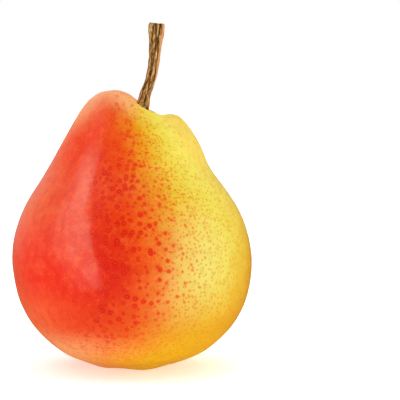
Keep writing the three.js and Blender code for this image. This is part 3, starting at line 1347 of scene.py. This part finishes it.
    def _blush(self, effects: Effects, place: Signal, around: Signal, rise: Signal) -> Signal:
        """Works out how red the skin is.

        Args:
            effects: the shared node groups.
            place: the spot on the fruit, in metres.
            around: the share of the way round.
            rise: the height above the table, in millimetres.

        Returns:
            0 fully yellow, 0.5 at the change, 1 fully red.
        """
        wiring = place.wiring
        facing = wiring.math("COSINE", (around - self.sunny) * math.tau)
        deeper = wiring.math("MAXIMUM", facing, 0.0) * rise.ease(*self.deep_band)
        reach = (rise / self.height_unit).curve(self.blush_reach)
        clouds = effects.clouds(place, self.cloud_size, 0.25)
        flecks = effects.clouds(place, self.fleck_size, 0.45)
        change = clouds * 0.05 + flecks * 0.045
        return wiring.math("ADD", facing * 0.5 + deeper + reach, change, clamp=True)

    def _ground(self, skin: SkinSignals) -> Signal:
        """Colours the skin without its marks and dots.

        Args:
            skin: what the colours follow.

        Returns:
            The colour: one row for each height, with soft changes between, a painted highlight on the crown's
                top and partly painted bounce light next to the table.
        """
        blush, rise = skin.blush, skin.rise
        low = rise.ease(*self.base_band).blend(blush.ramp(self.belly), blush.ramp(self.base))
        # Partly painted bounce light from the table, over the blush fading towards the calyx.
        low = rise.ease(*self.foot_and_bounce_band).blend(low, blush.ramp(self.foot))
        # Painted highlight: the red of the crown's top fades to pale peach.
        pale = rise.ease(*self.crown_highlight_band) * blush.ease(*self.crown_highlight_turn)
        high = pale.blend(blush.ramp(self.neck), shade(self.crown_highlight))
        return rise.ease(*self.neck_band).blend(low, high)

    def _mottle(self, skin: SkinSignals, colour: Signal) -> Signal:
        """Breaks the colour up into fine lighter and darker marks.

        Args:
            skin: what the colours follow.
            colour: the colour so far.

        Returns:
            The colour with its marks.
        """
        marks = skin.effects.clouds(skin.place, self.mark_size, 0.45)
        most = skin.rise.ease(*self.mark_band) * skin.blush.ease(*self.mark_turn)
        colour = marks.ease(-0.1, 0.7, 0.0, most).blend(colour, skin.blush.ramp(self.lighter))
        return marks.ease(0.1, -0.7, 0.0, 0.46).blend(colour, skin.blush.ramp(self.darker))

    def _orange_back_and_rim_light(self, skin: SkinSignals, colour: Signal) -> Signal:
        """Turns the skin orange towards the back, beyond the blush, and paler at the neck.

        Args:
            skin: what the colours follow.
            colour: the colour so far.

        Returns:
            The colour with the orange in it: partly the skin's own, partly painted rim light along the left
                limb, and pale peach painted rim light at the neck.
        """
        wiring = colour.wiring
        height = skin.rise / self.height_unit
        start = height.ease(*self.orange_and_rim_light_start)
        facing = wiring.math("COSINE", (skin.around - self.orange_and_rim_light_side) * math.tau)
        facing = skin.effects.clouds(skin.place, self.orange_and_rim_light_size, 0.5) * 0.12 + facing
        share = facing.ease(start, start + 0.7, 0.0, height.curve(self.orange_and_rim_light_share))
        # Painted rim light: pale peach at the neck, and partly along the left limb over the skin's orange
        # beyond the blush.
        return share.blend(colour, height.ramp(self.orange_and_rim_light_colours))

    def _ripe(self, skin: SkinSignals) -> Signal:
        """Works out how strong the ringed dots are: weaker near the table and on the red of the neck.

        Args:
            skin: what the colours follow.

        Returns:
            The strength, from 0 to 1.
        """
        ripe = skin.rise.ease(*self.ripe_band) * skin.rise.ease(*self.foot_ripe_band)
        bare = skin.rise.ease(*self.bare_band) * skin.blush.ease(*self.bare_turn)
        return ripe * (1.0 - bare)

    def _lay_dots(
        self, skin: SkinSignals, colour: Signal, big: Sequence[Signal], small: Sequence[Signal]
    ) -> tuple[Signal, Signal]:
        """Lays both sets of dots over the colour.

        Args:
            skin: what the colours follow.
            colour: the colour so far.
            big: the ringed dots' (distance, chance).
            small: the fine dots' (distance, chance).

        Returns:
            The new colour, and a mask of the dots' pitted middles.
        """
        blush, rise, wiring = skin.blush, skin.rise, colour.wiring
        (distance, chance), (fine_distance, fine_chance) = big, small
        golden = wiring.math("MAXIMUM", rise.ease(*self.golden_band), blush.ease(*self.golden_turn))
        amber = golden * blush.ease(*self.amber_turn)
        tint = amber.blend(blush.ramp(self.dot_colours), shade(self.dot_amber))

        ripe = self._ripe(skin)
        radius = blush.curve(self.dot_sizes) * (ripe * 0.45 + 0.55) * (chance * 0.75 + 0.55)
        ring = 1.0 - distance.ease(radius * 0.3, radius)
        vivid = blush.curve(self.dot_strengths) * ripe * (chance * 0.45 + 0.6)

        missing = rise.ease(*self.sparse_band) * blush.ease(*self.sparse_turn)
        speck = (1.0 - fine_distance.ease(0.08, 0.46)) * fine_chance.ease(missing, missing + 0.1)

        core = 1.0 - distance.ease(0.06, 0.24)
        open_core = blush.curve(self.core_strengths) * chance.ease(0.25, 0.75)
        fleck = 1.0 - fine_distance.ease(0.08, 0.2)
        rare = fine_chance.ease(0.72, 0.9) * blush.ease(0.5, 0.7, 0.0, 0.5)
        for share, over in (
            (wiring.math("MULTIPLY", ring, vivid, clamp=True), tint),
            (speck * blush.curve(self.speck_strengths), tint),
            (core * open_core, shade(self.core_colour)),
            (fleck * rare, shade(self.fleck_colour)),
        ):
            colour = share.blend(colour, over)
        return colour, wiring.math("MAXIMUM", core, speck * 0.5)

    def _lay_cork(self, skin: SkinSignals, colour: Signal, cork: Signal) -> Signal:
        """Browns the skin in the calyx tube and against the stem.

        Args:
            skin: what the colours follow.
            colour: the colour so far.
            cork: 1 where the skin is corky, 0 elsewhere.

        Returns:
            The colour with the brown in it.
        """
        edge = skin.effects.clouds(skin.place, self.cork_size, 0.5) * 0.12 + cork
        return edge.ease(0.1, 0.8).blend(colour, edge.ramp(self.cork))

    def _wax(self, skin: SkinSignals) -> Signal:
        """Works out how shiny the wax is: rubbed up on the belly, duller on the neck and near the table.

        Args:
            skin: what the shine follows.

        Returns:
            The coat's weight.
        """
        even = skin.rise.ease(*self.wax_top_band) * skin.rise.ease(*self.wax_foot_band)
        return even * (skin.effects.clouds(skin.place, self.wax_size, 0.5) * 0.75 + 1.0)


@dataclass(frozen=True)
class BarkFinish(Finish):
    """Dry ridged bark: dark in its furrows, pale along its ridges, stained in patches.

    Attributes:
        wood: the colours of the grain.
        stain: the colour of the stained patches.
        furrow: the near-black colour painted into the furrows: painted shade in the creases.
        right_side_light: the pinkish colours of the painted light down the bar's right side, from one edge to
            the other.
        broken: the colour of the broken end.
        sway_count: how fast the grain sways along the bar.
        stretch: how long the bar is, counted in its radii, where the grain is read.
        fibre: the width of the grain's fibres and how many times as long they are.
        patch_size: the size of the stained patches, in metres.
        relief_depth: the depth of the grain in millimetres.
    """

    wood: Stops = ((0.0, "542e0c"), (0.3, "946428"), (0.55, "ba8c4e"), (0.8, "d8b47e"), (1.0, "f2dfba"))
    stain: str = "94561c"
    # Painted shade for the furrows.
    furrow: str = "3a1c04"
    # Painted light down the stem's right side.
    right_side_light: Stops = ((0.62, "c08034"), (0.67, "eeb08c"), (0.8, "eaa884"))
    broken: str = "2c1508"
    sway_count: float = 75.0
    stretch: float = 18.0
    fibre: Station = (0.3, 5.0)
    patch_size: float = 0.0035
    relief_depth: float = 0.12

    def build(self, effects: Effects) -> bpy.types.Material:
        """Wires the bark.

        Args:
            effects: the shared node groups.

        Returns:
            The finished material.
        """
        material, wiring, shader = self.start()
        around, _, _ = wiring.wrap(BARK_UV).split()
        furrow, along = wiring.number("furrow"), wiring.number("along")
        sway = wiring.math("SINE", along * self.sway_count) * along.ease(0.55, 0.25, 0.0, 0.3)
        angle = sway + around * math.tau
        spot = wiring.join(wiring.math("COSINE", angle), wiring.math("SINE", angle), along * self.stretch)
        grain = effects.fibres(spot, *self.fibre)
        patches = effects.clouds(wiring.place(), self.patch_size, 0.4)
        wood = patches.ease(0.1, 0.9, 0.0, 0.75).blend(grain.ramp(self.wood), shade(self.stain))
        # Painted shade: the furrows are darkened towards near black, standing for the shade in the creases.
        dark = furrow.ease(0.15, 0.9) * (grain * -0.35 + 1.0)
        wood = dark.blend(wood, shade(self.furrow))
        # Painted light: a pale pinkish band down the bar's right side, where the light falls on it, with
        # ragged edges.
        edge = patches * 0.02 + around
        start = along.ease(0.3, 0.7, 0.67, 0.6)
        right_side_light_share = edge.ease(start, start + 0.03) * edge.ease(0.81, 0.74)
        right_side_light_share = right_side_light_share * (furrow * -0.35 + 0.8) * grain.ease(0.1, 0.45, 0.5, 1.0)
        wood = right_side_light_share.blend(wood, edge.ramp(self.right_side_light))
        end = along.ease(0.93, 0.99) * patches.ease(-0.2, 0.5) * 0.7
        wood = end.blend(wood, shade(self.broken))
        wiring.feed_all(shader, Base_Color=wood, Roughness=grain * -0.15 + 0.82)
        shader.inputs["Specular IOR Level"].default_value = 0.12
        self.raise_bumps(shader, furrow * -0.5 + (grain * 0.5 + 0.5), self.relief_depth)
        return material


@dataclass(frozen=True)
class CalyxFinish(Finish):
    """Withered leaf: dark brown, fibrous, paler on its high spots.

    Attributes:
        leaf: the colours of the fibres.
        rot: the colour of the darkest patches.
        fibre: the width of the fibres in metres and how many times as long they are.
        patch_size: the size of the dark patches, in metres.
        relief_depth: the depth of the fibres in millimetres.
    """

    leaf: Stops = ((0.0, "2a1a0e"), (0.5, "4f3620"), (1.0, "86683f"))
    rot: str = "1f130a"
    fibre: Station = (0.0005, 2.5)
    patch_size: float = 0.0014
    relief_depth: float = 0.08

    def build(self, effects: Effects) -> bpy.types.Material:
        """Wires the calyx.

        Args:
            effects: the shared node groups.

        Returns:
            The finished material.
        """
        material, wiring, shader = self.start()
        place = wiring.place()
        grain = effects.fibres(place, *self.fibre)
        dark = effects.clouds(place, self.patch_size, 0.4).ease(0.1, 1.2, 0.0, 0.6)
        colour = dark.blend(grain.ramp(self.leaf), shade(self.rot))
        wiring.feed_all(shader, Base_Color=colour, Roughness=grain * -0.1 + 0.88)
        self.raise_bumps(shader, grain, self.relief_depth)
        return material


# ---------------------------------------------------------------- studio


AIM_ACROSS = 0.2845
AIM_UP = 0.485


class Reach(Enum):
    """What a softbox does, as (lights the pear, is mirrored in its skin)."""

    MIRRORED = (False, True)
    LIGHTING = (True, False)

    @property
    def tint(self) -> Rgb:
        """The colour of its light: warm, and less red where it is only mirrored in the red skin."""
        return (0.8, 1.0, 0.76) if self is Reach.MIRRORED else (1.0, 0.93, 0.82)


@dataclass
class Softbox:
    """A soft light that faces the pear, oval where it is only mirrored in the skin.

    Attributes:
        name: the light's name.
        reach: whether it lights the pear or is mirrored in its skin.
        azimuth: degrees from the front towards +X.
        elevation: degrees above the table.
        distance: metres from the pear.
        width: metres across.
        height: metres from bottom to top.
        power: watts.
        lean: degrees by which it is turned in its own plane.
    """

    name: str
    reach: Reach
    azimuth: float
    elevation: float
    distance: float
    width: float
    height: float
    power: float
    lean: float = 0.0

    def place(self, target: Vector) -> None:
        """Stands the light up and turns it to the pear.

        Args:
            target: the spot that it faces.
        """
        a, e = math.radians(self.azimuth), math.radians(self.elevation)
        away = Vector((math.sin(a) * math.cos(e), -math.cos(a) * math.cos(e), math.sin(e)))
        light = bpy.data.lights.new(self.name, "AREA")
        light.shape = "ELLIPSE" if self.reach is Reach.MIRRORED else "RECTANGLE"
        light.size, light.size_y, light.energy = self.width, self.height, self.power
        light.color = self.reach.tint
        lamp = bpy.data.objects.new(self.name, light)
        lamp.location = target + away * self.distance
        roll = Quaternion((0, 0, 1), math.radians(self.lean))
        lamp.rotation_euler = (away.to_track_quat("Z", "Y") @ roll).to_euler()
        lamp.visible_diffuse, lamp.visible_glossy = self.reach.value
        bpy.context.scene.collection.objects.link(lamp)


@dataclass
class Studio:
    """A pale floor, a pale room, the soft lights and the camera."""

    aim: Vector
    camera_distance: float = 0.49
    camera_elevation: float = 5.0
    field_width: float = 0.110
    front_strength: float = 0.03
    back_strength: float = 0.6
    ceiling_strength: float = 1.9
    table_glow: float = 0.44
    film_width: float = 36.0
    floor_radius: float = 2.6
    floor_border: float = 0.4
    ceiling_spread: float = 90.0
    ceiling_tilt: float = -12.0

    def build(self) -> None:
        """Sets up everything round the pear."""
        self._camera()
        self._floor()
        self._room()
        for softbox in (
            Softbox("left_softbox", Reach.LIGHTING, -60, 24, 0.75, 0.75, 0.9, 1.4),
            Softbox("left_card", Reach.MIRRORED, -54, 21, 0.76, 0.3, 1.75, 4.2, lean=33),
            Softbox("left_veil", Reach.MIRRORED, -59, 19, 0.77, 0.5, 1.6, 3.6, lean=31),
            Softbox("left_haze", Reach.MIRRORED, -63, 17, 0.78, 0.7, 1.4, 1.7, lean=28),
            Softbox("right_softbox", Reach.LIGHTING, 78, 18, 0.75, 0.66, 0.8, 2.7),
            Softbox("right_card", Reach.MIRRORED, 76, 14, 0.76, 0.85, 1.0, 3.4),
            Softbox("front_fill", Reach.LIGHTING, 4, 12, 0.9, 0.8, 0.8, 1.5),
        ):
            softbox.place(self.aim)
        self._ceiling()
        bpy.context.scene.view_settings.view_transform = "Standard"

    def _camera(self) -> None:
        """A long lens, a little above the table."""
        data = bpy.data.cameras.new("camera")
        data.sensor_width = self.film_width
        data.lens = data.sensor_width * self.camera_distance / self.field_width
        data.clip_start, data.clip_end = 0.01, 20.0
        e = math.radians(self.camera_elevation)
        back = Vector((0, -math.cos(e), math.sin(e)))
        camera = bpy.data.objects.new("camera", data)
        camera.location = self.aim + back * self.camera_distance
        camera.rotation_euler = back.to_track_quat("Z", "Y").to_euler()
        bpy.context.scene.collection.objects.link(camera)
        bpy.context.scene.camera = camera

    def _floor(self) -> None:
        """A round pale table top, lit a little from below."""
        bpy.ops.object.select_all(action="DESELECT")
        bpy.ops.mesh.primitive_circle_add(vertices=96, radius=self.floor_radius, fill_type="NGON")
        floor = bpy.context.object
        floor.name = "floor"
        bpy.ops.object.mode_set(mode="EDIT")
        bpy.ops.mesh.select_all(action="SELECT")
        bpy.ops.mesh.inset(thickness=self.floor_border)
        bpy.ops.object.mode_set(mode="OBJECT")
        material = bpy.data.materials.new("floor_paper")
        material.use_nodes = True
        shader = material.node_tree.nodes["Principled BSDF"]
        wiring = Wiring(material.node_tree)
        tooth = wiring.noise(wiring.place(), 900.0, detail=2.0, roughness=0.5)
        wiring.feed(shader.inputs["Base Color"], tooth.blend(shade("f4f3f1"), shade("f7f6f5")))
        shader.inputs["Roughness"].default_value = 0.9
        shader.inputs["Specular IOR Level"].default_value = 0.1
        shader.inputs["Emission Color"].default_value = (1.0, 1.0, 1.0, 1.0)
        shader.inputs["Emission Strength"].default_value = self.table_glow
        floor.data.materials.append(material)
        floor.visible_glossy = False
        floor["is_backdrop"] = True

    def _ceiling(self) -> None:
        """A very broad light from above, a little behind the pear."""
        light = bpy.data.lights.new("ceiling", "SUN")
        light.energy = self.ceiling_strength
        light.angle = math.radians(self.ceiling_spread)
        lamp = bpy.data.objects.new("ceiling", light)
        lamp.rotation_euler.x = math.radians(self.ceiling_tilt)
        lamp.visible_glossy = False
        bpy.context.scene.collection.objects.link(lamp)

    def _room(self) -> None:
        """White walls behind and beside the pear, and a dim room in front of it."""
        world = bpy.data.worlds.new("room")
        world.use_nodes = True
        wiring = Wiring(world.node_tree)
        rays = wiring.add("ShaderNodeLightPath")
        seen, mirrored = wiring.out(rays, "Is Camera Ray"), wiring.out(rays, "Is Glossy Ray")
        right, behind, above = wiring.out(wiring.add("ShaderNodeTexCoord"), "Generated").split()
        walls = behind.ease(-0.75, 0.15, self.front_strength, self.back_strength)
        walls = walls * above.ease(-0.2, 0.1, 0.1, 1.0) * right.ease(0.9, -0.2, 0.6, 1.0)
        flag = mirrored * right.ease(-0.1, 0.3, 0.0, 0.85)
        walls = walls * (1.0 - flag)
        background = world.node_tree.nodes["Background"]
        background.inputs["Color"].default_value = (1.0, 1.0, 1.0, 1.0)
        wiring.feed(background.inputs["Strength"], wiring.math("MAXIMUM", seen, walls))
        bpy.context.scene.world = world


# ---------------------------------------------------------------- the whole pear


@dataclass
class Pear:
    """Every piece of the pear, built in order and given its finish."""

    fruit: Fruit

    def build(self) -> None:
        """Makes the pieces, dresses them and hands each to its CAD node."""
        effects = Effects()
        skin = SkinFinish("pear_skin", Slot.SKIN)
        bark = BarkFinish("stem_bark", Slot.BARK)
        dried = CalyxFinish("dried_calyx", Slot.CALYX)
        dresses = {finish.slot: finish.build(effects) for finish in (skin, bark, dried)}
        body = self.fruit.build()
        self._settle(body)
        self._hand_over(body, dresses, Slot.SKIN, "fruit")
        self._hand_over(Stalk(self.fruit).build(), dresses, Slot.BARK, "stem")
        calyx = Calyx(self.fruit)
        for number in range(self.fruit.lobe_count):
            self._hand_over(calyx.build_sepal(number), dresses, Slot.CALYX, f"sepal_{number + 1}")
        self._hand_over(calyx.build_stamens(), dresses, Slot.CALYX, "stamen_tuft")

    @staticmethod
    def _settle(body: bpy.types.Object) -> None:
        """Moves the body's mesh up or down so that it just rests on the table.

        Args:
            body: the fruit.
        """
        lowest = min(corner.co.z for corner in body.data.vertices)
        bpy.ops.object.mode_set(mode="EDIT")
        bpy.ops.mesh.select_all(action="SELECT")
        bpy.ops.transform.translate(value=(0, 0, -lowest))
        bpy.ops.object.mode_set(mode="OBJECT")

    @staticmethod
    def _hand_over(
        piece: bpy.types.Object, dresses: dict[Slot, bpy.types.Material], slot: Slot, node: str
    ) -> None:
        """Dresses a piece, stands it for a CAD node and logs it.

        Args:
            piece: the piece.
            dresses: the materials.
            slot: which of them it wears.
            node: the CAD node's name.
        """
        piece.data.materials.clear()
        piece.data.materials.append(dresses[slot])
        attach(piece, "root")
        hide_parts(node)
        log.info("%s: %d faces", piece.name, len(piece.data.polygons))


def main() -> None:
    """Builds the studio and the pear."""
    logging.basicConfig(level=logging.INFO, format="%(name)s %(message)s")
    cad_low, cad_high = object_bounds()
    low, high = (Vector(corner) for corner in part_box("fruit"))
    fruit = Fruit(belly_diameter=(high.y - low.y) / MM)
    aim = Vector((AIM_ACROSS * (cad_high.x - cad_low.x), 0, AIM_UP * cad_high.z))
    Studio(aim).build()
    Pear(fruit).build()
    low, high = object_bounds()


if __name__ == "__main__":
    main()
